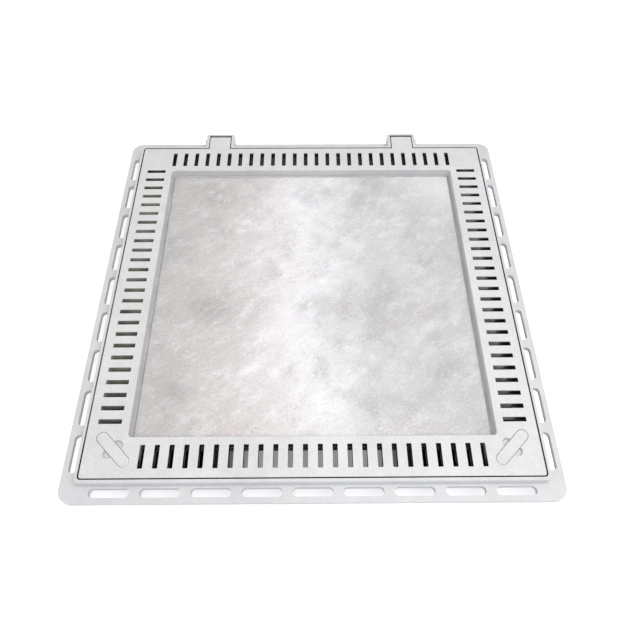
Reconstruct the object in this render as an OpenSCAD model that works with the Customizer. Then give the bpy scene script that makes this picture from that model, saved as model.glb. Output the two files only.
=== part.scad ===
// Square hinged access cover with a fillable recess and a slotted drainage border.
// Z = 0 is the underside of the anchoring flange, X = Y = 0 the middle of the opening.
// The lid hinges along the +Y side; its two lift handles sit at the -Y corners.

/* [Frame] */
// Overall width of the anchoring flange
flange_w = 500; // [490:1:600]
// Thickness of the flange and of the seat ledge
flange_t = 6; // [5:0.5:8]
// Depth of the flange's top below the rim
flange_drop = 11.5; // [10.5:0.5:20]
// Corner radius of the flange
flange_corner_r = 14; // [10:1:20]
// Clear width between the upstand walls
opening_w = 460; // [380:1:465]
// Inside corner radius of the upstand
opening_corner_r = 4; // [4:0.5:8]
// Outside corner radius of the upstand
rim_corner_r = 5; // [4:0.5:9]
// Size of the fillet at the upstand's foot
root_fillet_r = 2; // [1:0.5:2]
// Thickness of the upstand wall
wall_t = 3; // [2:0.5:4]
// Width of the ledge that the lid rests on
seat_w = 7; // [6.5:0.5:9]
// Overall height of the frame, from rim to foot
frame_h = 45; // [42:1:80]
// Thickness of the skirt that goes into the shaft
skirt_t = 3; // [2:0.5:4]
// Thickness of the gussets under the flange
gusset_t = 3; // [2:0.5:4]
// Height of the gussets down the skirt
gusset_h = 22; // [12:1:24]
// Distance from the gussets' ends to the flange's edge
gusset_end_gap = 4; // [2:0.5:8]
// Inside corner radius of the skirt
shaft_corner_r = 4; // [3:0.5:5]
// Softening of the frame's exposed edges
frame_edge = 0.8; // [0.4:0.1:1.2]

/* [Anchor slots] */
// Distance between neighbouring anchor slots
anchor_pitch = 50; // [46:1:60]
// End-to-end length of an anchor slot
anchor_len = 40; // [24:1:42]
// Width of an anchor slot
anchor_w = 9; // [6:0.5:10]
// Distance from the flange's edge to the slots' centre line
anchor_inset = 10.2; // [9:0.1:12]
// Least bridge between two rows of anchor slots at a corner
anchor_bridge = 10; // [6:1:15]

/* [Lid] */
// Gap all round between the lid and the upstand
lid_gap = 1.4; // [1:0.1:2.4]
// Thickness of the cushion strips on the ledge
cushion_t = 2; // [1.5:0.5:3]
// Width of the cushion strips
cushion_w = 5; // [4:0.5:6]
// Softening of the lid's top edges
lid_edge = 0.5; // [0.4:0.1:1.2]

/* [Drainage slots] */
// Distance between neighbouring drainage slots
drain_pitch = 14.8; // [10:0.1:15]
// Length of a drainage slot
drain_len = 24.3; // [16:0.1:26]
// Width of a drainage slot
drain_w = 5.2; // [3:0.1:8]
// Corner radius of a drainage slot
drain_corner_r = 0.8; // [0.5:0.1:1.4]
// Distance from the lid's edge to the middle of the slots
drain_inset = 21.4; // [20:0.1:23]
// Least bridge between two rows of drainage slots, and between a slot and a handle
drain_bridge = 6; // [4:0.5:7]

/* [Recess and infill] */
// Width of the border between the lid's edge and the recess
border_w = 41.8; // [40:0.1:60]
// Depth of the infill's face below the lid's top
recess_depth = 10; // [4:0.5:14]
// Corner radius of the recess
recess_corner_r = 4; // [3:0.5:8]
// Thickness of the infill slab
slab_t = 10; // [8:0.5:10]
// Corner radius of the infill slab
slab_corner_r = 2; // [1:0.5:3]
// Width of the sealed joint round the slab
joint_w = 2.8; // [2:0.1:5]
// Depth of the joint's face below the slab's face
joint_sag = 1; // [0.5:0.1:2]
// Thickness of the mortar bed
mortar_t = 4; // [3:0.5:5]
// Thickness of the recess's walls
pan_wall_t = 3.2; // [2.5:0.1:3.5]
// Thickness of the recess's floor
pan_floor_t = 3; // [2.5:0.5:4]

/* [Ribs and stiffeners] */
// Depth of the moulded ribs and of the steel channels under the floor
rib_h = 8; // [7:0.5:8]
// Thickness of the ribs
rib_t = 2.5; // [2:0.5:4]
// Distance between ribs
rib_pitch = 62; // [50:1:62]
// Width of a steel channel
channel_w = 30; // [22:1:36]
// Thickness of the channel's steel
channel_t = 1.5; // [1:0.1:2]
// Distance from the channel's ends to the pan's side ribs
channel_end_gap = 3; // [1:0.5:10]
// Gap between a channel and the ribs beside it
channel_side_gap = 1; // [0.5:0.1:2]
// Distance from a channel's ends to its outer screws
channel_screw_inset = 33.8; // [15:0.1:60]
// Diameter of the stiffener screws
stiffener_screw_d = 4; // [3:0.5:4]
// Length of the stiffener screws under the head
stiffener_screw_len = 7; // [5:0.5:8]
// Diameter of the stiffener screws' heads
stiffener_head_d = 7.6; // [6:0.1:8]
// Height of the stiffener screws' heads
stiffener_head_t = 2; // [1.5:0.1:2.5]
// Diameter of the bosses that take the stiffener screws
stiffener_boss_d = 8.8; // [7.6:0.2:12]

/* [Hinges] */
// Distance between the middles of the two hinges
hinge_spread = 252; // [200:1:300]
// Width of a hinge tab
tab_w = 28; // [20:1:36]
// Distance from the pin's axis to the tab's end
tab_end = 5.4; // [4.4:0.1:6]
// Depth of the pin's axis below the rim
pin_drop = 6; // [5.5:0.1:6]
// Diameter of the hinge pins
pin_d = 5; // [4:0.5:6]
// Diameter of the hinge pins' heads
pin_head_d = 9; // [8:0.5:10]
// Thickness of the hinge pins' heads
pin_head_t = 1.6; // [1:0.1:2]
// Angle that the lid opens through
open_angle = 108; // [90:1:108]
// Angle that is left past it before the lid meets the pocket's back wall
open_margin = 1.5; // [0.5:0.5:2]
// Gap between a tab and each side of its pocket
tab_side_gap = 1.2; // [0.8:0.1:2]
// Thickness of the pocket's side walls
pocket_side_t = 4; // [3:0.5:5]
// Thickness of the pocket's back wall
pocket_back_t = 3; // [2:0.5:4]
// Radius of the pocket's outside corners and of the fillets at its roots
pocket_corner_r = 3; // [2:0.5:4]

/* [Lift handles] */
// Distance from the lid's edges to the middle of a handle
handle_inset = 29; // [28.5:0.1:30]
// End-to-end length of a handle's bar
bar_len = 46.2; // [40:0.1:48]
// Width of a handle's bar
bar_w = 11.7; // [10:0.1:12]
// Thickness of a handle's bar
bar_t = 5; // [4:0.5:5.5]
// Softening of the bar's top edge
bar_edge = 0.5; // [0.3:0.1:0.8]
// Distance between a handle's two stems
stem_pitch = 28; // [24:1:30]
// Diameter of the stems
stem_d = 6; // [5:0.1:7.5]
// Diameter of the bosses that guide the stems
guide_d = 12; // [10:0.5:13]
// Length of the guide bosses below the deck
guide_len = 3.5; // [2:0.5:5]
// How far a handle pulls up
handle_travel = 20; // [12:1:20]
// Radius of the finger hollows beside a handle
finger_r = 5.5; // [4:0.1:6]
// How much narrower the finger hollows are at the bottom
finger_taper = 1; // [0.5:0.1:1.5]
// Depth of the finger hollows
finger_depth = 3.5; // [2:0.5:4]
// Thickness of the stop plate on the stems' ends
stop_t = 2; // [1.5:0.5:2.5]
// Width of the stop plate
stop_w = 11; // [9:0.5:13]
// Diameter of the handle screws
handle_screw_d = 3; // [2.5:0.5:3.5]
// Length of the handle screws under the head
handle_screw_len = 10; // [6:1:14]
// Diameter of the handle screws' heads
handle_head_d = 5.7; // [5:0.1:6]
// Height of the handle screws' heads
handle_head_t = 1.5; // [1:0.1:2]

/* [Fits] */
// Running clearance on the radius of a pin or stem
run_fit = 0.07; // [0.05:0.01:0.1]
// Clearance on the radius of a fixed pin or screw
fixed_fit = 0.03; // [0.02:0.01:0.05]
// Clearance on the radius of the holes that a screw passes through
through_fit = 0.15; // [0.1:0.05:0.3]
// Room left between the stop plates and the guides when the handles are up
stop_gap = 0.2; // [0.1:0.1:0.5]
// Least room between the back of the upstand and the lid's edge swung upright
upright_gap = 1; // [0.5:0.1:2]
// Gap round a handle's bar in its pocket
bar_gap = 0.35; // [0.3:0.05:0.6]
// Least gap that the lid's edge keeps as it swings past the rim
swing_gap = 0.3; // [0.2:0.05:0.4]
// Gap round the sweep of a hinge tab
sweep_gap = 0.5; // [0.4:0.1:1]

/* [Hidden] */
$fn = 48;
bite = 1;           // how far a cut runs past a face
sink = 0.5;         // how far one shape runs into the one that it is joined to
cross_share = 0.6;  // length of a screw's cross recess over its head's diameter
cross_w = 1.2;      // width of a screw's cross recess

rim_z = flange_drop + flange_t;     // top of the rim and of the lid
foot_z = rim_z - frame_h;
opening_half = opening_w / 2;
wall_half = opening_half + wall_t;              // outside of the upstand
seat_half = opening_half - seat_w;              // inside of the ledge and skirt
skirt_half = seat_half + skirt_t;
anchor_line = flange_w / 2 - anchor_inset;
anchor_reach = anchor_line - (anchor_len + anchor_w) / 2 - anchor_bridge;
anchor_count = 2 * floor(anchor_reach / anchor_pitch) + 1;
gusset_run = flange_w / 2 - skirt_half - gusset_end_gap;
cushion_line = seat_half + (seat_w - lid_gap) / 2;

lid_half = opening_half - lid_gap;
lid_corner_r = opening_corner_r - lid_gap;
deck_t = flange_drop - cushion_t;               // thickness of the lid's slotted border
drain_line = lid_half - drain_inset;
drain_reach = drain_line - (drain_len + drain_w) / 2 - drain_bridge;
drain_count = 2 * floor(drain_reach / drain_pitch + 0.5);
recess_half = lid_half - border_w;
pan_half = recess_half + pan_wall_t;
pan_corner_r = recess_corner_r + pan_wall_t;
mortar_top = recess_depth + slab_t;             // depths below the lid's top
floor_top = mortar_top + mortar_t;
floor_bottom = floor_top + pan_floor_t;
rib_bottom = floor_bottom + rib_h;
slab_half = recess_half - joint_w;
rib_count = 2 * floor(recess_half / rib_pitch - 0.5) + 1;
channel_len = 2 * (recess_half - channel_end_gap);
channel_pitch = 2 * rib_pitch;
channel_screw_pitch = channel_len / 2 - channel_screw_inset;

// The pin sits far enough back for the lid's edge to swing past the rim.
swing_room = lid_gap - swing_gap;
pin_set = max((pin_drop * pin_drop - swing_room * swing_room) / (2 * swing_room),
    wall_t + pin_drop + upright_gap);
pin_y = opening_half + pin_set;
pin_z = rim_z - pin_drop;
tab_corner_r = sqrt(tab_end * tab_end + pin_drop * pin_drop);
tab_sweep_r = tab_corner_r + sweep_gap;
pocket_in_w = tab_w + 2 * tab_side_gap;
pocket_out_w = pocket_in_w + 2 * pocket_side_t;
pocket_in_y = pin_y + max(tab_sweep_r, pin_drop * tan((open_angle + open_margin) / 2));
pocket_out_y = pocket_in_y + pocket_back_t;
pocket_floor = pin_drop + tab_sweep_r;          // depth below the rim

handle_at = lid_half - handle_inset;
bar_reach = (bar_len - bar_w) / 2 * cos(45) + bar_w / 2;    // half a bar's extent along X
stop_top = deck_t + guide_len + handle_travel + stop_gap;   // depth below the rim

shell_grey = [0.87, 0.88, 0.89];
steel_grey = [0.70, 0.71, 0.72];
cement_grey = [0.80, 0.78, 0.77];

// A rectangle with round corners, centred: w along X, d along Y.
module rounded_rect(w, d, r) {
    square([w, d - 2 * r], center = true);
    square([w - 2 * r, d], center = true);
    for (x = [-1, 1], y = [-1, 1])
        translate([x * (w / 2 - r), y * (d / 2 - r)]) circle(r);
}

module rounded_square(w, r) rounded_rect(w, w, r);

// A straight slot with round ends, along X, centred.
module stadium(len, w) {
    square([len - w, w], center = true);
    for (x = [-1, 1])
        translate([x * (len - w) / 2, 0]) circle(d = w);
}

// The section of a plate w wide and h high whose two top edges are cut at 45 degrees.
function soft_section(w, h, edge) = [[-w / 2, 0], [w / 2, 0], [w / 2, h - edge],
    [w / 2 - edge, h], [edge - w / 2, h], [-w / 2, h - edge]];

// A round corner of such a plate.
module soft_corner(r, h, edge) {
    rotate_extrude()
        polygon([[0, 0], [r, 0], [r, h - edge], [r - edge, h], [0, h]]);
}

// A plate with round corners and a cut top edge, standing on Z = 0.
module soft_plate(w, d, r, h, edge) {
    rotate([90, 0, 0])
        linear_extrude(d - 2 * r, center = true) polygon(soft_section(w, h, edge));
    rotate([90, 0, 90])
        linear_extrude(w - 2 * r, center = true) polygon(soft_section(d, h, edge));
    for (x = [-1, 1], y = [-1, 1])
        translate([x * (w / 2 - r), y * (d / 2 - r), 0]) soft_corner(r, h, edge);
}

// The section of a hollow fillet of size r in the corner at the origin, in three facets.
function fillet_section(r) = [[-sink, -sink], [r, -sink], [r, 0],
    [r * (1 - cos(60)), r * (1 - sin(60))], [r * (1 - cos(30)), r * (1 - sin(30))],
    [0, r], [-sink, r]];

// A hollow fillet round the foot of a square block w wide with round corners.
module root_fillet(w, corner_r, r) {
    each_side()
        translate([0, -w / 2, 0])
            rotate([90, 0, -90])
                linear_extrude(w - 2 * corner_r, center = true) polygon(fillet_section(r));
    for (x = [-1, 1], y = [-1, 1])
        translate([x * (w / 2 - corner_r), y * (w / 2 - corner_r), 0])
            rotate_extrude() translate([corner_r, 0]) polygon(fillet_section(r));
}

// A tool that cuts a square well with round corners and a 45 degree lead-in at Z = 0.
module soft_well(w, r, depth, edge) {
    translate([0, 0, -depth]) linear_extrude(depth + bite) rounded_square(w, r);
    mirror([0, 0, 1]) translate([0, 0, -edge])
        soft_plate(w + 4 * edge, w + 4 * edge, r + 2 * edge, 2 * edge, 2 * edge - 0.01);
}

// Copies at the four sides, each turned so that its -Y side faces outwards.
module each_side() {
    for (a = [0, 90, 180, 270])
        rotate([0, 0, a]) children();
}

// Copies at the left and right hinge.
module each_hinge() {
    for (side = [-1, 1])
        translate([side * hinge_spread / 2, pin_y, 0]) children();
}

// ---- Frame ----

// The slots of one flange side, leaving out those that would run into a hinge pocket.
module anchor_slots(clear_of_hinges) {
    for (i = [0 : anchor_count - 1]) {
        x = (i - (anchor_count - 1) / 2) * anchor_pitch;
        at_hinge = abs(abs(x) - hinge_spread / 2) < (anchor_len + pocket_out_w) / 2;
        blocked = clear_of_hinges && at_hinge;
        if (!blocked)
            translate([x, -anchor_line, -bite])
                linear_extrude(flange_t + 2 * bite) stadium(anchor_len, anchor_w);
    }
}

// Triangular gussets under one side of the flange, between the slots.
module gussets() {
    for (i = [0 : anchor_count - 2])
        translate([(i - (anchor_count - 2) / 2) * anchor_pitch + gusset_t / 2, -skirt_half, 0])
            rotate([90, 0, -90])
                linear_extrude(gusset_t)
                    polygon([[-sink, sink], [gusset_run, sink], [gusset_run, 0], [0, -gusset_h],
                        [-sink, -gusset_h]]);
}

module frame() {
    color(shell_grey)
    difference() {
        union() {
            // flange and seat ledge in one plate
            soft_plate(flange_w, flange_w, flange_corner_r, flange_t, frame_edge);
            // upstand wall
            translate([0, 0, sink])
                soft_plate(2 * wall_half, 2 * wall_half, rim_corner_r, rim_z - sink, frame_edge);
            translate([0, 0, flange_t]) root_fillet(2 * wall_half, rim_corner_r, root_fillet_r);
            // skirt
            translate([0, 0, foot_z])
                linear_extrude(sink - foot_z) rounded_square(2 * skirt_half, opening_corner_r);
            each_side() gussets();
            each_hinge() hinge_pocket_block();
        }
        // shaft opening
        translate([0, 0, foot_z - bite])
            linear_extrude(frame_h) rounded_square(2 * seat_half, shaft_corner_r);
        // lid's seat
        translate([0, 0, flange_t])
            linear_extrude(flange_drop + bite) rounded_square(opening_w, opening_corner_r);
        for (a = [0, 90, 270])
            rotate([0, 0, a]) anchor_slots(false);
        rotate([0, 0, 180]) anchor_slots(true);
        each_hinge() hinge_pocket_cut();
    }
}

// The pocket's walls, which bulge out of the upstand round the tab, with filleted roots.
module hinge_pocket_block() {
    depth = pocket_out_y - opening_half - wall_t / 2;
    translate([0, pocket_out_y - pin_y - depth / 2, 0])
        soft_plate(pocket_out_w, depth, pocket_corner_r, rim_z, frame_edge);
    for (flip = [0, 1])
        mirror([flip, 0, 0]) translate([pocket_out_w / 2, wall_half - pin_y, 0])
            linear_extrude(rim_z - frame_edge)
                difference() {
                    translate([-sink, -sink]) square(pocket_corner_r + sink);
                    translate([pocket_corner_r, pocket_corner_r]) circle(pocket_corner_r);
                }
}

// The room inside a pocket, its notch in the upstand, and the bore for the pin.
module hinge_pocket_cut() {
    translate([-pocket_in_w / 2, wall_half - pin_y, rim_z - pocket_floor])
        cube([pocket_in_w, pocket_in_y - wall_half, pocket_floor + bite]);
    translate([-pocket_in_w / 2, opening_half - pin_y - bite, flange_t])
        cube([pocket_in_w, wall_t + 2 * bite, flange_drop + bite]);
    translate([0, 0, pin_z]) rotate([0, 90, 0])
        cylinder(r = pin_d / 2 + fixed_fit, h = pocket_out_w + 2 * bite, center = true);
}

// A cushion strip along one side of the ledge.
module cushion(turn) {
    strip_len = 2 * (opening_half - opening_corner_r - cushion_w);
    color("dimgray")
        rotate([0, 0, turn])
            translate([-strip_len / 2, -cushion_line - cushion_w / 2, flange_t])
                cube([strip_len, cushion_w, cushion_t]);
}

module cushion_front() cushion(0);
module cushion_right() cushion(90);
module cushion_back() cushion(180);
module cushion_left() cushion(270);

// A headed pin through the pocket and the tab; its head is on the side away from the middle.
module hinge_pin(side) {
    color(steel_grey)
        translate([side * hinge_spread / 2, pin_y, pin_z]) rotate([0, side * 90, 0]) {
            cylinder(d = pin_d, h = pocket_out_w, center = true);
            translate([0, 0, pocket_out_w / 2]) cylinder(d = pin_head_d, h = pin_head_t);
        }
}

module hinge_pin_left() hinge_pin(-1);
module hinge_pin_right() hinge_pin(1);

// ---- Lid ----

module drain_slot() rounded_rect(drain_w, drain_len, drain_corner_r, $fn = 16);

// Whether a slot x along its row is too near to a handle at the row's end.
function at_bar(x) = x + drain_w / 2 + drain_bridge > handle_at - bar_reach;

// One row of drainage slots along -Y, without those beside a handle at its -X or +X end.
module drain_row(handle_before, handle_after) {
    for (i = [0 : drain_count - 1]) {
        x = (i - (drain_count - 1) / 2) * drain_pitch;
        if (!(handle_before && at_bar(-x)) && !(handle_after && at_bar(x)))
            translate([x, -drain_line]) drain_slot();
    }
}

module drain_slots() {
    drain_row(true, true);
    rotate([0, 0, 90]) drain_row(true, false);
    rotate([0, 0, 180]) drain_row(false, false);
    rotate([0, 0, 270]) drain_row(false, true);
}

// Copies at a handle's place: its bar lies across the corner's diagonal.
module at_handle(side) {
    translate([side * handle_at, -handle_at, rim_z]) rotate([0, 0, side * 45]) children();
}

// The tab reaches back from the lid's edge to the pin.
module hinge_tab() {
    tab_front = lid_half - pin_y - bite;
    rotate([90, 0, 90])
        linear_extrude(tab_w, center = true) {
            polygon([[tab_front, rim_z - deck_t], [0, rim_z - deck_t], [tab_end, pin_z],
                [tab_end, rim_z - lid_edge], [tab_end - lid_edge, rim_z], [tab_front, rim_z]]);
            translate([0, pin_z]) circle(tab_end);
        }
}

// Copies at the nine screws that hold the stiffeners.
module each_stiffener_screw() {
    for (row = [-1 : 1], i = [-1 : 1])
        translate([i * channel_screw_pitch, row * channel_pitch, rim_z - rib_bottom]) children();
}

// The ribs under the floor, with room for the channels, and the bosses for their screws.
module ribs() {
    rib_len = 2 * (recess_half + sink);
    translate([0, 0, rim_z - rib_bottom]) {
        // side ribs that carry the recess's walls down
        linear_extrude(rib_h + sink)
            difference() {
                rounded_square(2 * pan_half, pan_corner_r);
                rounded_square(2 * recess_half, recess_corner_r);
            }
        difference() {
            linear_extrude(rib_h + sink)
                for (i = [0 : rib_count - 1]) {
                    k = i - (rib_count - 1) / 2;
                    translate([k * rib_pitch, 0]) square([rib_t, rib_len], center = true);
                    if (k % 2 != 0)
                        translate([0, k * rib_pitch]) square([rib_len, rib_t], center = true);
                }
            for (row = [-1 : 1])
                translate([0, row * channel_pitch, -bite])
                    linear_extrude(rib_h + bite)
                        square([channel_len + 2 * channel_side_gap,
                            channel_w + 2 * channel_side_gap], center = true);
        }
    }
    each_stiffener_screw()
        translate([0, 0, channel_t]) cylinder(d = stiffener_boss_d, h = rib_h - channel_t + sink);
}

module lid() {
    color(shell_grey)
    difference() {
        union() {
            translate([0, 0, rim_z - deck_t])
                soft_plate(2 * lid_half, 2 * lid_half, lid_corner_r, deck_t, lid_edge);
            translate([0, 0, rim_z - floor_bottom])
                linear_extrude(floor_bottom - deck_t + sink)
                    rounded_square(2 * pan_half, pan_corner_r);
            ribs();
            each_hinge() hinge_tab();
            for (side = [-1, 1])
                at_handle(side)
                    for (x = [-1, 1])
                        translate([x * stem_pitch / 2, 0, -deck_t - guide_len])
                            cylinder(d = guide_d, h = guide_len + sink);
        }
        // recess for the infill
        translate([0, 0, rim_z])
            soft_well(2 * recess_half, recess_corner_r, floor_top, lid_edge);
        translate([0, 0, rim_z - deck_t - bite])
            linear_extrude(deck_t + 2 * bite) drain_slots();
        each_hinge()
            translate([0, 0, pin_z]) rotate([0, 90, 0])
                cylinder(r = pin_d / 2 + run_fit, h = tab_w + 2 * bite, center = true);
        for (side = [-1, 1])
            at_handle(side) handle_cut();
        // pilot holes for the stiffeners' screws
        each_stiffener_screw()
            translate([0, 0, -bite])
                cylinder(r = stiffener_screw_d / 2 + fixed_fit, h = stiffener_screw_len + 2 * bite);
    }
}

// The pocket for a handle's bar, the bores for its stems and the two finger hollows.
module handle_cut() {
    translate([0, 0, -bar_t])
        linear_extrude(bar_t + bite) stadium(bar_len + 2 * bar_gap, bar_w + 2 * bar_gap);
    for (x = [-1, 1])
        translate([x * stem_pitch / 2, 0, -deck_t - guide_len - bite])
            cylinder(r = stem_d / 2 + run_fit, h = deck_t + guide_len + 2 * bite);
    // the hollows' walls lean out and run on past the lid's top
    for (y = [-1, 1])
        translate([0, y * bar_w / 2, -finger_depth])
            cylinder(r1 = finger_r - finger_taper, r2 = finger_r + finger_taper * bite / finger_depth,
                h = finger_depth + bite);
}

module infill_slab() {
    color(cement_grey)
        translate([0, 0, rim_z - mortar_top])
            linear_extrude(slab_t) rounded_square(2 * slab_half, slab_corner_r);
}

module mortar_bed() {
    color("darkgray")
        translate([0, 0, rim_z - floor_top])
            linear_extrude(mortar_t) rounded_square(2 * recess_half, recess_corner_r);
}

// The sealed joint fills the space between the slab's edge and the recess's wall.
module joint_seal() {
    color("gray")
        translate([0, 0, rim_z - mortar_top])
            linear_extrude(slab_t - joint_sag)
                difference() {
                    rounded_square(2 * recess_half, recess_corner_r);
                    rounded_square(2 * slab_half, slab_corner_r);
                }
}

// A steel channel, open upwards, screwed under the recess's floor.
module stiffener(row) {
    color(steel_grey)
        translate([0, row * channel_pitch, rim_z - rib_bottom])
            difference() {
                translate([-channel_len / 2, -channel_w / 2, 0])
                    cube([channel_len, channel_w, rib_h]);
                translate([-channel_len / 2 - bite, channel_t - channel_w / 2, channel_t])
                    cube([channel_len + 2 * bite, channel_w - 2 * channel_t, rib_h]);
                for (i = [-1 : 1])
                    translate([i * channel_screw_pitch, 0, -bite])
                        cylinder(r = stiffener_screw_d / 2 + through_fit,
                            h = channel_t + 2 * bite);
            }
}

module stiffener_front() stiffener(-1);
module stiffener_middle() stiffener(0);
module stiffener_back() stiffener(1);

// A pan-head screw that points up, with its seat at Z = 0.
module pan_screw(d, len, head_d, head_t) {
    cylinder(d = d, h = len);
    translate([0, 0, -head_t]) difference() {
        cylinder(d = head_d, h = head_t);
        for (a = [0, 90])
            rotate([0, 0, a])
                cube([cross_share * head_d, cross_w, head_t], center = true);
    }
}

module stiffener_screws() {
    color(steel_grey)
        each_stiffener_screw()
            pan_screw(stiffener_screw_d, stiffener_screw_len, stiffener_head_d, stiffener_head_t);
}

// ---- Lift handles ----

// A bar flush with the lid on two stems that slide in the lid's guides.
module handle(side) {
    color(shell_grey)
        at_handle(side) difference() {
            union() {
                translate([0, 0, -bar_t]) soft_bar(bar_len, bar_w, bar_t, bar_edge);
                for (x = [-1, 1])
                    translate([x * stem_pitch / 2, 0, -stop_top])
                        cylinder(d = stem_d, h = stop_top - bar_t + sink);
            }
            for (x = [-1, 1])
                translate([x * stem_pitch / 2, 0, -stop_top - bite])
                    cylinder(r = handle_screw_d / 2 + fixed_fit, h = handle_screw_len + bite);
        }
}

// A bar with round ends and a cut top edge, along X, standing on Z = 0.
module soft_bar(len, w, h, edge) {
    rotate([90, 0, 90])
        linear_extrude(len - w, center = true) polygon(soft_section(w, h, edge));
    for (x = [-1, 1])
        translate([x * (len - w) / 2, 0, 0]) soft_corner(w / 2, h, edge);
}

module handle_left() handle(-1);
module handle_right() handle(1);

// The plate that joins the stems' ends and stops the handle under the guides.
module stop_plate(side) {
    color(steel_grey)
        at_handle(side) translate([0, 0, -stop_top - stop_t])
            linear_extrude(stop_t) difference() {
                stadium(stem_pitch + stop_w, stop_w);
                for (x = [-1, 1])
                    translate([x * stem_pitch / 2, 0])
                        circle(handle_screw_d / 2 + through_fit);
            }
}

module stop_plate_left() stop_plate(-1);
module stop_plate_right() stop_plate(1);

module stop_screws(side) {
    color(steel_grey)
        at_handle(side)
            for (x = [-1, 1])
                translate([x * stem_pitch / 2, 0, -stop_top - stop_t])
                    pan_screw(handle_screw_d, handle_screw_len, handle_head_d, handle_head_t);
}

module stop_screws_left() stop_screws(-1);
module stop_screws_right() stop_screws(1);

frame();
cushion_front();
cushion_back();
cushion_left();
cushion_right();
hinge_pin_left();
hinge_pin_right();
lid();
infill_slab();
mortar_bed();
joint_seal();
stiffener_front();
stiffener_middle();
stiffener_back();
stiffener_screws();
handle_left();
handle_right();
stop_plate_left();
stop_plate_right();
stop_screws_left();
stop_screws_right();
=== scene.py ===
import math

import bmesh
import bpy
from mathutils import Matrix, Vector, noise


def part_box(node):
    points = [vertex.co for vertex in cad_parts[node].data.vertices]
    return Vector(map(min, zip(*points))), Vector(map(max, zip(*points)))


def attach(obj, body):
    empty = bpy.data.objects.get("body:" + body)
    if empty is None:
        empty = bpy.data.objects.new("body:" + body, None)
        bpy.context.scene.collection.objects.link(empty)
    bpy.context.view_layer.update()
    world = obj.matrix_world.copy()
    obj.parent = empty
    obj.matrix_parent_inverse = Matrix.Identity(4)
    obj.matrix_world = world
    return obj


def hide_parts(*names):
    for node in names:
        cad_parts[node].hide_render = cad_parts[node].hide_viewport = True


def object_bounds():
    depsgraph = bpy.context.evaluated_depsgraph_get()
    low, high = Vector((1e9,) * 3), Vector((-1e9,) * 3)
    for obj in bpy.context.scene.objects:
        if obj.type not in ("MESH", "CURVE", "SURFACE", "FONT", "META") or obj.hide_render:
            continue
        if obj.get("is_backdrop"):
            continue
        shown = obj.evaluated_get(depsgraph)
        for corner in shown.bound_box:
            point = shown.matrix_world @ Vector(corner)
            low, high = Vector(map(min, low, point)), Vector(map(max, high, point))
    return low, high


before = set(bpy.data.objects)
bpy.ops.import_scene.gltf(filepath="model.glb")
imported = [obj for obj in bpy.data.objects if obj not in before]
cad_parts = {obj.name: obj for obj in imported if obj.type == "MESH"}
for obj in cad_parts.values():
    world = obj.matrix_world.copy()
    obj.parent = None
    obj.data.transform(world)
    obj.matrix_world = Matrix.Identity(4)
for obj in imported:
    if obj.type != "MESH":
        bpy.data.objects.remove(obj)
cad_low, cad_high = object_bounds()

MM = 0.001

# ---------------------------------------------------------------------------
# Studio: a pale floor under the frame's foot with a dark shaft in it, a large
# soft box overhead and to the right, a low blue one in front, and an even sky.
# The camera stands in front of the cover and looks down on it.
# ---------------------------------------------------------------------------
scene = bpy.context.scene
scene.view_settings.view_transform = "Standard"
scene.view_settings.look = "None"

eye = Vector((-0.0015, -0.4024, 0.5926))
look = Vector((0.006, 0.533, -0.846)).normalized()
right = look.cross(Vector((0.005, 0.845, 0.534))).normalized()
camera = bpy.data.objects.new("camera", bpy.data.cameras.new("camera"))
scene.collection.objects.link(camera)
camera.matrix_world = Matrix((
    (right.x, right.cross(look).x, -look.x, eye.x),
    (right.y, right.cross(look).y, -look.y, eye.y),
    (right.z, right.cross(look).z, -look.z, eye.z),
    (0, 0, 0, 1)))
camera.data.sensor_width = 36
camera.data.lens = 34.37
camera.data.shift_x = -0.0037
camera.data.shift_y = 0.0013
camera.data.clip_start = 0.01
scene.camera = camera


def soft_box(name, place, aim, size, power, colour):
    """A square area light at a place, turned to face another place."""
    lamp = bpy.data.lights.new(name, "AREA")
    lamp.size = size
    lamp.energy = power
    lamp.color = colour
    made = bpy.data.objects.new(name, lamp)
    scene.collection.objects.link(made)
    made.location = place
    made.rotation_mode = "QUATERNION"
    made.rotation_quaternion = (Vector(aim) - Vector(place)).to_track_quat("-Z", "Y")


soft_box("overhead", (0.30, -0.35, 1.3), (0, 0, 0), 1.1, 14.5, (1.0, 0.985, 0.965))
soft_box("low_front", (0.1, -2.3, 0.55), (0, 0, 0), 1.2, 4.5, (0.52, 0.63, 1.0))

world = bpy.data.worlds.new("sky")
world.use_nodes = True
world.node_tree.nodes["Background"].inputs["Color"].default_value = (0.96, 0.97, 1.0, 1)
world.node_tree.nodes["Background"].inputs["Strength"].default_value = 0.66
scene.world = world


def put(tree, socket, value):
    """Gives an input a value, or links it to another node's output."""
    if isinstance(value, bpy.types.NodeSocket):
        tree.links.new(value, socket)
    elif socket.type == "RGBA" and len(value) == 3:
        socket.default_value = (*value, 1)
    else:
        socket.default_value = value


def node(tree, kind, values=None, **settings):
    """A shader node with its properties, and its inputs set to values or linked to sockets."""
    made = tree.nodes.new("ShaderNode" + kind)
    for name, value in settings.items():
        setattr(made, name, value)
    for name, value in (values or {}).items():
        put(tree, made.inputs[name], value)
    return made


def calc(tree, operation, *values):
    """A math node's result."""
    return node(tree, "Math", dict(enumerate(values)), operation=operation).outputs[0]


def between(tree, value, from_low, from_high, to_low=0.0, to_high=1.0):
    """A value's smooth change from one range to another, held at the ends."""
    made = node(tree, "MapRange", interpolation_type="SMOOTHSTEP")
    for name, number in (("Value", value), ("From Min", from_low), ("From Max", from_high),
                         ("To Min", to_low), ("To Max", to_high)):
        put(tree, made.inputs[name], number)
    return made.outputs["Result"]


def blend_colours(tree, share, first, second):
    """Two colours mixed by a share from 0 to 1."""
    made = node(tree, "Mix", data_type="RGBA")
    for socket, value in ((made.inputs[0], share), (made.inputs[6], first), (made.inputs[7], second)):
        put(tree, socket, value)
    return made.outputs[2]


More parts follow.
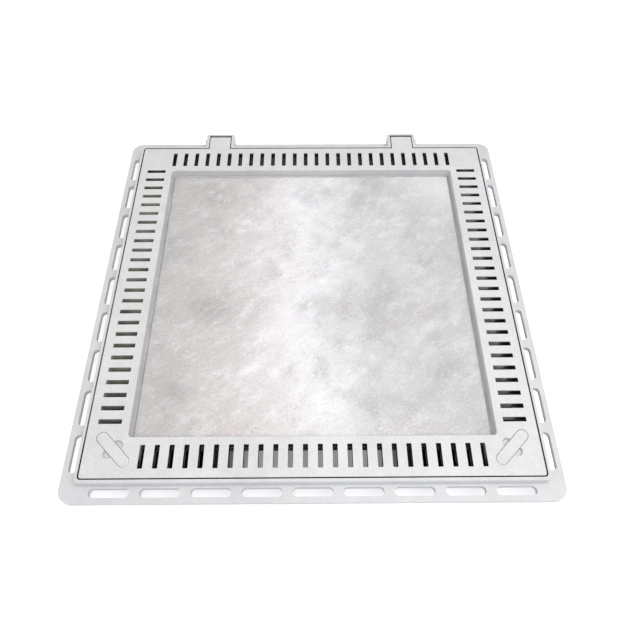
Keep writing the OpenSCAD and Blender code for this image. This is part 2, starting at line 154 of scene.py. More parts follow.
def away_from(tree, place, centre):
    """The distance of a place from a centre."""
    return node(tree, "VectorMath", {0: place, 1: centre}, operation="DISTANCE").outputs["Value"]


def new_material(name):
    """An empty material: its tree, the object's own coordinates and its Principled shader."""
    material = bpy.data.materials.new(name)
    material.use_nodes = True
    tree = material.node_tree
    coordinates = node(tree, "TexCoord").outputs["Object"]
    return material, tree, coordinates, tree.nodes["Principled BSDF"]


floor_material, tree, coordinates, shader = new_material("pale_floor")
drift = node(tree, "TexNoise", {"Vector": coordinates, "Scale": 3.0, "Detail": 2.0}).outputs["Fac"]
colour = blend_colours(tree, drift, (0.80, 0.80, 0.80), (0.82, 0.82, 0.82))
put(tree, shader.inputs["Base Color"], colour)
shader.inputs["Roughness"].default_value = 0.9
shader.inputs["Specular IOR Level"].default_value = 0.1
shader.inputs["Emission Color"].default_value = (1, 1, 1, 1)
shader.inputs["Emission Strength"].default_value = 0.42

shaft_material, tree, coordinates, shader = new_material("shaft_concrete")
drift = node(tree, "TexNoise", {"Vector": coordinates, "Scale": 14.0, "Detail": 5.0}).outputs["Fac"]
colour = blend_colours(tree, drift, (0.018, 0.017, 0.016), (0.05, 0.048, 0.045))
put(tree, shader.inputs["Base Color"], colour)
shader.inputs["Roughness"].default_value = 0.9
shader.inputs["Specular IOR Level"].default_value = 0.1
# painted light: an uneven glowing patch on the front of the shaft's bottom, standing in for daylight that
# gets down the shaft
painted_light_patch = between(tree, away_from(tree, coordinates, (0, -0.08, -0.378)), 0.17, 0.09, 0.0, 0.27)
uneven = calc(tree, "ADD", calc(tree, "MULTIPLY", drift, 0.6), 0.7)
shader.inputs["Emission Color"].default_value = (1.0, 0.98, 0.96, 1)
put(tree, shader.inputs["Emission Strength"], calc(tree, "MULTIPLY", painted_light_patch, uneven))

# the floor, with a shaft in it whose edge is under the foot of the frame's skirt
floor_half = 60.0
shaft_half = 224.5 * MM
shaft_depth = 0.35
points = []
for reach, deep in ((floor_half, 0), (shaft_half, 0), (shaft_half, shaft_depth)):
    points += [(x * reach, y * reach, cad_low.z - deep) for x, y in ((-1, -1), (1, -1), (1, 1), (-1, 1))]
faces = []
for ring in (0, 4):
    faces += [(ring + i, ring + (i + 1) % 4, ring + 4 + (i + 1) % 4, ring + 4 + i) for i in range(4)]
floor_mesh = bpy.data.meshes.new("floor")
floor_mesh.from_pydata(points, [], faces + [(8, 9, 10, 11)])
floor_mesh.materials.append(floor_material)
floor_mesh.materials.append(shaft_material)
for face in floor_mesh.polygons[4:]:
    face.material_index = 1
floor = bpy.data.objects.new("floor", floor_mesh)
scene.collection.objects.link(floor)
floor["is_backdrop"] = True

# ---------------------------------------------------------------------------
# Frame: one moulding in light grey glass-filled polypropylene, with a spark
# textured face. It stands on the foot of its skirt, round the shaft. The lid and
# the bars of the lift handles are moulded in the same polymer.
# ---------------------------------------------------------------------------


def new_group(name, inputs, outputs):
    """A shader node group: its tree, the sockets that come in and those that go out."""
    tree = bpy.data.node_groups.new(name, "ShaderNodeTree")
    for socket, value in inputs.items():
        kind = "NodeSocketVector" if value is None else "NodeSocketFloat"
        made = tree.interface.new_socket(socket, in_out="INPUT", socket_type=kind)
        if value is not None:
            made.default_value = value
    for socket in outputs:
        tree.interface.new_socket(socket, in_out="OUTPUT", socket_type="NodeSocketFloat")
    return tree, tree.nodes.new("NodeGroupInput").outputs, tree.nodes.new("NodeGroupOutput").inputs


def use_group(tree, group, values):
    """A group placed in a material, with its values. Returns its outputs."""
    made = tree.nodes.new("ShaderNodeGroup")
    made.node_tree = group
    for name, value in values.items():
        put(tree, made.inputs[name], value)
    return made.outputs


def noise_of(tree, given, detail, rough=0.5):
    """Noise with features of the group's own Size."""
    scale = calc(tree, "DIVIDE", 1.0, given["Size"])
    return node(tree, "TexNoise", {"Vector": given["Vector"], "Scale": scale, "Detail": detail,
                                   "Roughness": rough}).outputs["Fac"]


# clouds: slow changes of tone, Size across, from 0 to 1
clouds, given, result = new_group("clouds", {"Vector": None, "Size": 0.1, "Detail": 3.0}, ["Tone"])
swirl = noise_of(clouds, given, given["Detail"], 0.55)
put(clouds, result["Tone"], between(clouds, swirl, 0.3, 0.7))

# mould_grain: the fine pitting of a spark textured mould, as a height in metres and a tone
mould_grain, given, result = new_group("mould_grain", {"Vector": None, "Size": 0.0008, "Depth": 0.00002},
                                       ["Height", "Tone"])
pits = noise_of(mould_grain, given, 2.0, 0.6)
put(mould_grain, result["Tone"], between(mould_grain, pits, 0.25, 0.75))
put(mould_grain, result["Height"], calc(mould_grain, "MULTIPLY", pits, given["Depth"]))

# specks: small spots, one in some cells of a grid of the given spacing
specks, given, result = new_group("specks", {"Vector": None, "Spacing": 0.01, "Size": 0.0006, "Share": 0.2},
                                  ["Mask"])
cells = node(specks, "TexVoronoi", {"Vector": given["Vector"],
                                    "Scale": calc(specks, "DIVIDE", 1.0, given["Spacing"])}).outputs
lot = node(specks, "SeparateColor", {"Color": cells["Color"]}).outputs[0]
reach = calc(specks, "DIVIDE", given["Size"], given["Spacing"])
spot = between(specks, cells["Distance"], 0.0, reach, 1.0, 0.0)
put(specks, result["Mask"], calc(specks, "MULTIPLY", spot, calc(specks, "LESS_THAN", lot, given["Share"])))

# edge_rub: where an edge has been rubbed, Width wide and broken up by noise
edge_rub, given, result = new_group("edge_rub", {"Vector": None, "Width": 0.0008, "Size": 0.01}, ["Mask"])
rounded = node(edge_rub, "Bevel", {"Radius": given["Width"]}, samples=4).outputs["Normal"]
flat = node(edge_rub, "NewGeometry").outputs["Normal"]
turn = node(edge_rub, "VectorMath", {0: rounded, 1: flat}, operation="DOT_PRODUCT").outputs["Value"]
breaks = between(edge_rub, noise_of(edge_rub, given, 4.0), 0.35, 0.65)
put(edge_rub, result["Mask"], calc(edge_rub, "MULTIPLY", between(edge_rub, turn, 0.995, 0.9), breaks))

# a mask for corners and slots, within Reach of a neighbouring face, from ambient occlusion broken up by noise
# drifts: settled dust, and painted shade where it darkens a colour
corner_dust_and_shade, given, result = new_group("corner_dust_and_shade", {"Vector": None, "Reach": 0.006, "Size": 0.02},
                                        ["Mask"])
open_share = node(corner_dust_and_shade, "AmbientOcclusion", {"Distance": given["Reach"]}, samples=6).outputs["AO"]
drifts = between(corner_dust_and_shade, noise_of(corner_dust_and_shade, given, 4.0), 0.2, 0.8, 0.45, 1.0)
corner = between(corner_dust_and_shade, open_share, 0.95, 0.35)
put(corner_dust_and_shade, result["Mask"], calc(corner_dust_and_shade, "MULTIPLY", corner, drifts))


def stain(tree, colour, mask, strength, shade):
    """A colour stained with a shade where a mask is, by up to a strength."""
    return blend_colours(tree, calc(tree, "MULTIPLY", mask, strength), colour, shade)


def set_rough(tree, shader, tone, depth, rough):
    """A roughness that rises by a depth with a tone from 0 to 1."""
    put(tree, shader.inputs["Roughness"], calc(tree, "ADD", calc(tree, "MULTIPLY", tone, depth), rough))


def set_bump(tree, shader, height, strength):
    """A bump from a height in metres."""
    bump = node(tree, "Bump", {"Height": height, "Distance": 1.0, "Strength": strength})
    put(tree, shader.inputs["Normal"], bump.outputs["Normal"])


rim_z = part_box("lid")[1].z
handle_low, handle_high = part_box("handle_right")
handle_place = ((handle_low.x + handle_high.x) / 2, -(handle_low.y + handle_high.y) / 2, rim_z)
handle_reach = 30 * MM
recess_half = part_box("joint_seal")[1].x


def polymer(name, light, dark, grain_depth, closed, low_shade):
    """Moulded polypropylene: clouded grey, fine mould grain, stray specks, rubbed edges, dust and painted
    shade in corners, painted shade low down, in the slots and gaps and on the recess's back wall, and painted
    light in the side slots.

    The painted shade in the slots and gaps starts where the open share of the view falls under closed. The
    last argument is how strongly the painted shade low down darkens the polymer.
    """
    material, tree, coordinates, shader = new_material(name)
    cloud = use_group(tree, clouds, {"Vector": coordinates, "Size": 0.11})["Tone"]
    blotch = use_group(tree, clouds, {"Vector": coordinates, "Size": 0.018, "Detail": 4.0})["Tone"]
    grain = use_group(tree, mould_grain, {"Vector": coordinates, "Size": 0.0012, "Depth": grain_depth})
    tone = calc(tree, "ADD", calc(tree, "MULTIPLY", cloud, 0.25),
                calc(tree, "ADD", calc(tree, "MULTIPLY", blotch, 0.2),
                     calc(tree, "MULTIPLY", grain["Tone"], 0.55)))
    colour = blend_colours(tree, tone, dark, light)
    # warm and cool drifts of tint
    tint = use_group(tree, clouds, {"Vector": coordinates, "Size": 0.045, "Detail": 2.0})["Tone"]
    tints = blend_colours(tree, tint, (0.985, 0.99, 1.0), (1.0, 0.992, 0.98))
    colour = node(tree, "Mix", {0: 1.0, 6: colour, 7: tints}, data_type="RGBA",
                  blend_type="MULTIPLY").outputs[2]
    spot = use_group(tree, specks, {"Vector": coordinates, "Spacing": 0.012, "Size": 0.0005,
                                    "Share": 0.3})["Mask"]
    colour = stain(tree, colour, spot, 0.45, (0.20, 0.17, 0.14))
    # darker in corners: settled dust and painted shade
    dust_and_shade = use_group(tree, corner_dust_and_shade, {"Vector": coordinates, "Reach": 0.004, "Size": 0.02})["Mask"]
    colour = stain(tree, colour, dust_and_shade, 0.22, (0.33, 0.32, 0.31))
    # painted shade low down: below about 6 mm up, the polymer is darkened towards a bluish grey
    axes = node(tree, "SeparateXYZ", {"Vector": coordinates}).outputs
    low_shade_mask = between(tree, axes["Z"], 0.0058, 0.001, 0.0, low_shade)
    colour = blend_colours(tree, low_shade_mask, colour, (0.36, 0.365, 0.385))
    # painted shade below the top in the slots and gaps, where the view is closed in, but not round the
    # handles or in the recess
    closed_in = node(tree, "AmbientOcclusion", {"Distance": 0.009}, samples=8).outputs["AO"]
    mirrored = node(tree, "VectorMath", {0: coordinates}, operation="ABSOLUTE").outputs["Vector"]
    sides = node(tree, "SeparateXYZ", {"Vector": mirrored}).outputs
    slot_shade = calc(tree, "MULTIPLY", between(tree, closed_in, closed, closed - 0.2, 0.0, 0.98),
                 between(tree, axes["Z"], rim_z - 0.3 * MM, rim_z - 1.2 * MM))
    by_handle = between(tree, away_from(tree, mirrored, handle_place), handle_reach, handle_reach - 5 * MM)
    wiped = calc(tree, "MULTIPLY", by_handle, calc(tree, "LESS_THAN", axes["Y"], 0.0))
    in_recess = calc(tree, "LESS_THAN", calc(tree, "MAXIMUM", sides["X"], sides["Y"]), recess_half + 2 * MM)
    slot_shade = calc(tree, "SUBTRACT", slot_shade, calc(tree, "MAXIMUM", wiped, in_recess))
    slot_shade = calc(tree, "MAXIMUM", slot_shade, 0.0)
    # the painted shade is near black in the front and back rows; in the side rows it is a paler brown,
    # painted light, but not in the outer halves of the slots on the right
    side_slot_light = calc(tree, "MULTIPLY", between(tree, axes["Y"], 0.19, 0.13),
                between(tree, axes["Y"], -0.196, -0.186))
    shade = use_group(tree, clouds, {"Vector": coordinates, "Size": 0.02, "Detail": 2.0})["Tone"]
    side_slot_light = calc(tree, "MULTIPLY", side_slot_light, calc(tree, "ADD", calc(tree, "MULTIPLY", shade, 0.5), 0.5))
    side_slot_light = calc(tree, "MULTIPLY", side_slot_light, between(tree, axes["X"], 0.206, 0.2105, 0.95, 0.0))
    slot_shade_colour = blend_colours(tree, side_slot_light, (0.004, 0.004, 0.003), (0.47, 0.442, 0.377))
    colour = blend_colours(tree, slot_shade, colour, slot_shade_colour)
    matt = calc(tree, "SUBTRACT", 0.5, calc(tree, "MULTIPLY", slot_shade, 0.45))
    put(tree, shader.inputs["Specular IOR Level"], matt)
    # painted shade on the recess's back wall, just below its top
    back_wall_shade = calc(tree, "MULTIPLY", in_recess, between(tree, axes["Z"], rim_z - 0.4 * MM, rim_z - 1.2 * MM))
    back_wall_shade = calc(tree, "MULTIPLY", back_wall_shade, between(tree, axes["Y"], recess_half - 8 * MM, recess_half - 3 * MM))
    colour = stain(tree, colour, back_wall_shade, 0.2, (0.40, 0.402, 0.41))
    rub = use_group(tree, edge_rub, {"Vector": coordinates, "Width": 0.0006, "Size": 0.009})["Mask"]
    colour = stain(tree, colour, rub, 0.5, (0.80, 0.80, 0.80))
    put(tree, shader.inputs["Base Color"], colour)
    sheen = calc(tree, "ADD", calc(tree, "MULTIPLY", grain["Tone"], 0.12),
                 calc(tree, "MULTIPLY", blotch, 0.08))
    rough = calc(tree, "SUBTRACT", calc(tree, "ADD", sheen, 0.42), calc(tree, "MULTIPLY", rub, 0.12))
    set_rough(tree, shader, dust_and_shade, 0.2, rough)
    set_bump(tree, shader, grain["Height"], 0.6)
    shader.inputs["IOR"].default_value = 1.49
    return material


# painted shade: this copy of the polymer, for the frame, is a little darker than the lid's copy of the same
# polymer
frame_polymer_shaded = polymer("frame_polymer_shaded", (0.684, 0.684, 0.688), (0.500, 0.501, 0.507), grain_depth=0.00006,
                        closed=0.46, low_shade=0.55)
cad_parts["frame"].material_slots[0].material = frame_polymer_shaded

# ---------------------------------------------------------------------------
# Cushions: four strips of black EPDM rubber with a round-shouldered section,
# glued to the frame's ledge, on which the shut lid rests without rattling.
# ---------------------------------------------------------------------------


def smooth(mesh, angle=35):
    """Shades a mesh smooth, except at edges sharper than an angle in degrees."""
    mesh.polygons.foreach_set("use_smooth", [True] * len(mesh.polygons))
    mesh.set_sharp_from_angle(angle=math.radians(angle))


def add_mesh(name, mesh_builder, material, angle=35):
    """A bmesh as an object with a material, smooth except at edges sharper than an angle."""
    mesh = bpy.data.meshes.new(name)
    bmesh.ops.recalc_face_normals(mesh_builder, faces=mesh_builder.faces)
    mesh_builder.to_mesh(mesh)
    mesh_builder.free()
    mesh.materials.append(material)
    smooth(mesh, angle)
    made = bpy.data.objects.new(name, mesh)
    scene.collection.objects.link(made)
    return made


def arc(centre_x, centre_y, radius, start, end, steps):
    """Points along an arc, its angles in degrees."""
    angles = [math.radians(start + (end - start) * i / steps) for i in range(steps + 1)]
    return [(centre_x + radius * math.cos(a), centre_y + radius * math.sin(a)) for a in angles]


def loft(builder, rings):
    """Joins rings of points, each the same length, into a tube with its ends capped."""
    made = [[builder.verts.new(point) for point in ring] for ring in rings]
    count = len(made[0])
    for below, above in zip(made, made[1:]):
        for i in range(count):
            builder.faces.new((below[i], below[(i + 1) % count], above[(i + 1) % count], above[i]))
    builder.faces.new(made[0][::-1])
    builder.faces.new(made[-1])


rubber, tree, coordinates, shader = new_material("epdm_rubber")
grain = use_group(tree, mould_grain, {"Vector": coordinates, "Size": 0.0005, "Depth": 0.00005})
bloom = use_group(tree, clouds, {"Vector": coordinates, "Size": 0.02})["Tone"]
colour = blend_colours(tree, bloom, (0.018, 0.018, 0.019), (0.045, 0.045, 0.047))
dust_and_shade = use_group(tree, corner_dust_and_shade, {"Vector": coordinates, "Reach": 0.003, "Size": 0.008})["Mask"]
colour = stain(tree, colour, dust_and_shade, 0.5, (0.16, 0.15, 0.14))
put(tree, shader.inputs["Base Color"], colour)
set_rough(tree, shader, grain["Tone"], 0.2, 0.55)
set_bump(tree, shader, grain["Height"], 0.7)

shoulder = 1.1 * MM
# places along a strip and the share of its full height there; its cut ends are a little lower
sections = ((-1, 0.85), (-0.998, 1), (0.998, 1), (1, 0.85))
for side in ("front", "back", "left", "right"):
    low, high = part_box("cushion_" + side)
    middle = (low + high) / 2
    along_x = side in ("front", "back")
    half_length = (high.x - low.x if along_x else high.y - low.y) / 2
    half_width = (high.y - low.y if along_x else high.x - low.x) / 2
    height = high.z - low.z
    section = [(-half_width, 0), (half_width, 0)]
    section += arc(half_width - shoulder, height - shoulder, shoulder, 0, 90, 6)
    section += arc(shoulder - half_width, height - shoulder, shoulder, 90, 180, 6)
    builder = bmesh.new()
    rings = []
    for end, share in sections:
        ring = [Vector((end * half_length, y, z * share)) for y, z in section]
        if not along_x:
            ring = [Vector((-p.y, p.x, p.z)) for p in ring]
        rings.append([p + Vector((middle.x, middle.y, low.z)) for p in ring])
    loft(builder, rings)
    strip = add_mesh("cushion_strip_" + side, builder, rubber)
    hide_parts("cushion_" + side)
    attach(strip, "frame")

# ---------------------------------------------------------------------------
# Hinge pins: turned stainless pins with a domed head, driven sideways through
# the pocket's walls and the lid's tab. The far end has a turned lead-in.
# ---------------------------------------------------------------------------


def turned(builder, profile, place, steps=48):
    """A closed solid turned from (radius, height) pairs, set in its place by a matrix."""
    rings = []
    for radius, height in profile:
        rings.append([place @ Vector((radius * math.cos(a), radius * math.sin(a), height))
                      for a in (2 * math.pi * i / steps for i in range(steps))])
    loft(builder, rings)


def steel(name, colour_light, colour_dark, rough, streak_size):
    """Bare stainless steel with turning or drawing marks, dull patches, and dirt and painted shade in its
    corners.
    """
    material, tree, coordinates, shader = new_material(name)
    stretched = node(tree, "Mapping", {"Vector": coordinates, "Scale": streak_size}).outputs["Vector"]
    marks = node(tree, "TexNoise", {"Vector": stretched, "Scale": 1.0, "Detail": 3.0}).outputs["Fac"]
    dull = use_group(tree, clouds, {"Vector": coordinates, "Size": 0.006})["Tone"]
    tone = calc(tree, "MULTIPLY", calc(tree, "ADD", marks, dull), 0.5)
    colour = blend_colours(tree, tone, colour_dark, colour_light)
    # darker and less metallic in corners: settled dirt and painted shade
    dust_and_shade = use_group(tree, corner_dust_and_shade, {"Vector": coordinates, "Reach": 0.002, "Size": 0.004})["Mask"]
    colour = stain(tree, colour, dust_and_shade, 0.55, (0.10, 0.09, 0.08))
    put(tree, shader.inputs["Base Color"], colour)
    put(tree, shader.inputs["Metallic"], calc(tree, "SUBTRACT", 1.0, calc(tree, "MULTIPLY", dust_and_shade, 0.5)))
    set_rough(tree, shader, marks, 0.18, rough)
    set_bump(tree, shader, calc(tree, "MULTIPLY", marks, 0.00002), 0.5)
    return material


turned_steel = steel("turned_steel", (0.62, 0.61, 0.60), (0.50, 0.49, 0.48), 0.22, (4000, 300, 300))

pin_r = 2.5 * MM
pin_head_r = 4.5 * MM
head_t = 1.6 * MM
dome_r = 0.9 * MM
lead_in = 0.6 * MM
for side, outwards in (("left", -1), ("right", 1)):
    low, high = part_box("hinge_pin_" + side)
    length = high.x - low.x
    inner_end = (low.x if outwards > 0 else high.x, (low.y + high.y) / 2, (low.z + high.z) / 2)
    place = Matrix.Translation(inner_end) @ Matrix.Rotation(outwards * math.pi / 2, 4, "Y")
    profile = [(pin_r - lead_in, 0), (pin_r, lead_in), (pin_r, length - head_t)]
    profile += [(pin_head_r, length - head_t)]
    profile += [(r, length - dome_r + h) for r, h in arc(pin_head_r - dome_r, 0, dome_r, 0, 60, 6)]
    profile += [(0.4 * pin_head_r, length - 0.02 * MM), (0.05 * pin_head_r, length)]
    builder = bmesh.new()
    turned(builder, profile, place)
    pin = add_mesh("pin_" + side, builder, turned_steel)
    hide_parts("hinge_pin_" + side)
    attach(pin, "frame")

# ---------------------------------------------------------------------------
# Lid: the tray that carries the infill, moulded with its slotted border, hinge
# tabs, ribs and screw bosses in the frame's polymer.
# ---------------------------------------------------------------------------
lid_polymer = polymer("lid_polymer", (0.720, 0.718, 0.712), (0.530, 0.528, 0.525), grain_depth=0.00004,
                      closed=0.74, low_shade=0.0)
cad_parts["lid"].material_slots[0].material = lid_polymer

# ---------------------------------------------------------------------------
# Stiffeners: three channels folded from 1.5 mm galvanised sheet, each screwed
# up against the ribs with three stainless pan-head screws.
# ---------------------------------------------------------------------------
zinc, tree, coordinates, shader = new_material("galvanised_sheet")
flakes = node(tree, "TexVoronoi", {"Vector": coordinates, "Scale": 130.0})
flake_tone = node(tree, "SeparateColor", {"Color": flakes.outputs["Color"]}).outputs[0]
dull = use_group(tree, clouds, {"Vector": coordinates, "Size": 0.05})["Tone"]
tone = calc(tree, "ADD", calc(tree, "MULTIPLY", flake_tone, 0.6), calc(tree, "MULTIPLY", dull, 0.4))
colour = blend_colours(tree, tone, (0.42, 0.43, 0.44), (0.62, 0.63, 0.64))
# darker in corners: settled dust and painted shade
dust_and_shade = use_group(tree, corner_dust_and_shade, {"Vector": coordinates, "Reach": 0.004, "Size": 0.01})["Mask"]
colour = stain(tree, colour, dust_and_shade, 0.5, (0.20, 0.19, 0.18))
put(tree, shader.inputs["Base Color"], colour)
shader.inputs["Metallic"].default_value = 0.9
set_rough(tree, shader, flake_tone, 0.2, 0.33)
height = calc(tree, "MULTIPLY", flake_tone, 0.00001)
set_bump(tree, shader, height, 0.4)


def cut(piece, builder):
    """Takes a tool's shape out of a piece for good."""
    tool = add_mesh("tool", builder, piece.data.materials[0])
    modifier = piece.modifiers.new("cut", "BOOLEAN")
    modifier.object = tool
    modifier.solver = "EXACT"
    shown = piece.evaluated_get(bpy.context.evaluated_depsgraph_get())
    mesh = bpy.data.meshes.new_from_object(shown)
    mesh.name = piece.name
    piece.modifiers.clear()
    piece.data = mesh
    smooth(mesh)
    bpy.data.objects.remove(tool)


sheet_t = 1.5 * MM
bend_r = 2.2 * MM
screw_hole_r = 2.15 * MM
screw_xs = (-0.150, 0.0, 0.150)
for row in ("front", "middle", "back"):
    low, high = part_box("stiffener_" + row)
    middle_y = (low.y + high.y) / 2
    half = (high.y - low.y) / 2
    height = high.z - low.z
    section = [(half - sheet_t, height), (half, height)]
    section += arc(half - bend_r, bend_r, bend_r, 0, -90, 6)
    section += arc(bend_r - half, bend_r, bend_r, -90, -180, 6)
    section += [(-half, height), (sheet_t - half, height)]
    section += arc(bend_r - half, bend_r, bend_r - sheet_t, 180, 270, 6)
    section += arc(half - bend_r, bend_r, bend_r - sheet_t, -90, 0, 6)
    builder = bmesh.new()
    loft(builder, [[(x, middle_y + y, low.z + z) for y, z in section] for x in (low.x, high.x)])
    channel = add_mesh("channel_" + row, builder, zinc)
    drills = bmesh.new()
    for x in screw_xs:
        place = Matrix.Translation((x, middle_y, low.z))
        turned(drills, [(screw_hole_r, -MM), (screw_hole_r, 2 * sheet_t)], place, 24)
    cut(channel, drills)
    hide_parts("stiffener_" + row)
    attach(channel, "lid")

screw_steel = steel("screw_steel", (0.60, 0.59, 0.58), (0.46, 0.45, 0.44), 0.25, (900, 900, 900))


def pan_screws(name, seats, shank_r, length, head_r, head_t):
    """Pan-head screws pointing up from their seats, with ringed shanks and a cross recess in each head."""
    thread_pitch = 1.4 * MM
    thread_depth = 0.35 * MM
    turns = int((length - 2 * MM) / thread_pitch)
    profile = [(0.05 * head_r, -head_t)]
    profile += [(head_r * math.sin(math.radians(a)), -head_t * math.cos(math.radians(a)) ** 0.8)
                for a in (15, 30, 45, 58, 70, 80)]
    profile += [(head_r, -0.12 * head_t), (head_r, 0), (shank_r - thread_depth, 0)]
    for i in range(turns):
        profile += [(shank_r - thread_depth, MM + i * thread_pitch),
                    (shank_r, MM + (i + 0.5) * thread_pitch)]
    profile += [(shank_r - thread_depth, length - MM), (0.4 * shank_r, length)]
    builder = bmesh.new()
    tool = bmesh.new()
    for seat in seats:
        turned(builder, profile, Matrix.Translation(seat), 32)
        # the recess, a cross that narrows as it goes in
        rings = []
        for share, height in ((1.15, -head_t - MM), (1.0, -head_t), (0.6, -0.4 * head_t)):
            arm, thin = 0.55 * head_r * share, 0.12 * head_r * share
            quarter = [(arm, -thin), (arm, thin), (thin, thin)]
            quarters = [Matrix.Rotation(math.radians(turn), 3, "Z") for turn in (0, 90, 180, 270)]
            rings.append([Vector(seat) + q @ Vector((x, y, height)) for q in quarters for x, y in quarter])
        loft(tool, rings)
    made = add_mesh(name, builder, screw_steel)
    cut(made, tool)
    return made


channel_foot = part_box("stiffener_middle")[0].z
seats = [(x, (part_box("stiffener_" + row)[0].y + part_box("stiffener_" + row)[1].y) / 2, channel_foot)
         for row in ("front", "middle", "back") for x in screw_xs]
screws = pan_screws("channel_screws", seats, shank_r=2 * MM, length=7 * MM, head_r=3.8 * MM, head_t=2 * MM)
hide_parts("stiffener_screws")
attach(screws, "lid")

# ---------------------------------------------------------------------------
# Mortar bed: grey cement mortar, spread in the tray with a notched trowel. The
# slab is pressed into it, so none of it shows.
# ---------------------------------------------------------------------------
mortar, tree, coordinates, shader = new_material("bedding_mortar")
sand = use_group(tree, mould_grain, {"Vector": coordinates, "Size": 0.0012, "Depth": 0.0004})
damp = use_group(tree, clouds, {"Vector": coordinates, "Size": 0.04})["Tone"]
tone = calc(tree, "MULTIPLY", calc(tree, "ADD", sand["Tone"], damp), 0.5)
colour = blend_colours(tree, tone, (0.20, 0.19, 0.18), (0.38, 0.37, 0.35))
put(tree, shader.inputs["Base Color"], colour)
set_rough(tree, shader, sand["Tone"], 0.1, 0.82)
set_bump(tree, shader, sand["Height"], 0.8)
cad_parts["mortar_bed"].material_slots[0].material = mortar

# ---------------------------------------------------------------------------
# Infill slab: a cement-look paving slab, cut to the tray and laid in mortar.
# Its face is trowelled: slow waves, small dents and a softened arris.
# ---------------------------------------------------------------------------
cement, tree, coordinates, shader = new_material("trowelled_cement")
axes = node(tree, "SeparateXYZ", {"Vector": coordinates}).outputs
warp = node(tree, "TexNoise", {"Vector": coordinates, "Scale": 9.0, "Detail": 4.0}).outputs["Fac"]
across = calc(tree, "ADD", axes["X"], calc(tree, "MULTIPLY", calc(tree, "SUBTRACT", warp, 0.5), 0.12))
# a pale swathe down the middle, between a pinkish and a bluish grey side
band = node(tree, "ValToRGB", {"Fac": between(tree, across, -0.19, 0.19)})
ramp = band.color_ramp
ramp.elements[0].position, ramp.elements[0].color = 0.0, (0.500, 0.478, 0.470, 1)
ramp.elements[1].position, ramp.elements[1].color = 1.0, (0.520, 0.512, 0.510, 1)
for position, shade in ((0.20, (0.600, 0.566, 0.560)), (0.33, (0.700, 0.675, 0.675)),
                        (0.42, (0.745, 0.731, 0.736)), (0.56, (0.712, 0.703, 0.707)),
                        (0.74, (0.578, 0.569, 0.571))):
    ramp.elements.new(position).color = (*shade, 1)
colour = band.outputs["Color"]


def strokes_at(turn, size, detail, distortion):
    """Noise drawn out along one direction across the slab, as a trowel leaves it."""
    placed = node(tree, "Mapping", {"Vector": coordinates, "Rotation": (0, 0, math.radians(turn)),
                                    "Scale": size}, vector_type="TEXTURE")
    return node(tree, "TexNoise", {"Vector": placed.outputs["Vector"], "Scale": 1.0, "Detail": detail,
                                   "Roughness": 0.68, "Distortion": distortion}).outputs["Fac"]


# soft dark clouds and pale laps, drawn out by slanting strokes of the trowel
broad = strokes_at(38, (0.105, 0.055, 0.05), 8.0, 0.3)
colour = blend_colours(tree, between(tree, broad, 0.50, 0.78, 0.0, 0.52), colour, (0.430, 0.420, 0.422))
laps = strokes_at(32, (0.030, 0.016, 0.02), 10.0, 0.2)
swathe = between(tree, calc(tree, "ABSOLUTE", calc(tree, "ADD", across, 0.03)), 0.13, 0.04, 0.5, 1.0)
pale_laps = calc(tree, "MULTIPLY", between(tree, laps, 0.55, 0.27, 0.0, 0.66), swathe)
colour = blend_colours(tree, pale_laps, colour, (0.87, 0.867, 0.87))
colour = blend_colours(tree, between(tree, laps, 0.52, 0.78, 0.0, 0.42), colour, (0.470, 0.460, 0.462))
fine = strokes_at(24, (0.0034, 0.0018, 0.002), 3.0, 0.2)
colour = blend_colours(tree, between(tree, fine, 0.48, 0.30, 0.0, 0.34), colour, (0.86, 0.86, 0.86))
colour = blend_colours(tree, between(tree, fine, 0.52, 0.70, 0.0, 0.34), colour, (0.42, 0.41, 0.405))
# darker smudges where the trowel was set down: their places, sizes and depths
face_z = 0.0072
ragged = strokes_at(45, (0.016, 0.008, 0.01), 8.0, 0.6)
for x, y, size, depth in (
        (-0.126, 0.151, 0.034, 0.60), (-0.117, -0.026, 0.034, 0.60), (-0.168, 0.062, 0.030, 0.50),
        (-0.155, -0.130, 0.036, 0.45), (-0.009, 0.154, 0.022, 0.40), (-0.009, -0.024, 0.022, 0.40),
        (-0.028, 0.051, 0.012, 0.50), (-0.025, -0.109, 0.012, 0.50), (0.137, 0.041, 0.016, 0.65),
        (0.141, -0.111, 0.020, 0.60), (0.070, 0.150, 0.040, 0.40), (0.089, -0.024, 0.045, 0.40)):
    near = between(tree, away_from(tree, coordinates, (x, y, face_z)), 1.25 * size, 0.1 * size)
    smudge = calc(tree, "MULTIPLY", near, between(tree, ragged, 0.38, 0.60))
    colour = stain(tree, colour, smudge, 0.75 * depth, (0.30, 0.292, 0.295))
# faint damp clouds, patches where the sand shows as fine dark grains, and stray pits
damp = use_group(tree, clouds, {"Vector": coordinates, "Size": 0.055, "Detail": 7.0})["Tone"]
colour = blend_colours(tree, between(tree, damp, 0.62, 1.0, 0.0, 0.20), colour, (0.33, 0.325, 0.33))
sand = use_group(tree, mould_grain, {"Vector": coordinates, "Size": 0.0013, "Depth": 0.00010})
worn = use_group(tree, clouds, {"Vector": coordinates, "Size": 0.028, "Detail": 5.0})["Tone"]
grains = calc(tree, "MULTIPLY", between(tree, sand["Tone"], 0.55, 0.95), between(tree, worn, 0.45, 0.9))
colour = stain(tree, colour, grains, 0.55, (0.30, 0.27, 0.26))
spots = use_group(tree, specks, {"Vector": coordinates, "Spacing": 0.007, "Size": 0.0011,
                                 "Share": 0.22})["Mask"]
colour = stain(tree, colour, spots, 0.45, (0.24, 0.23, 0.23))
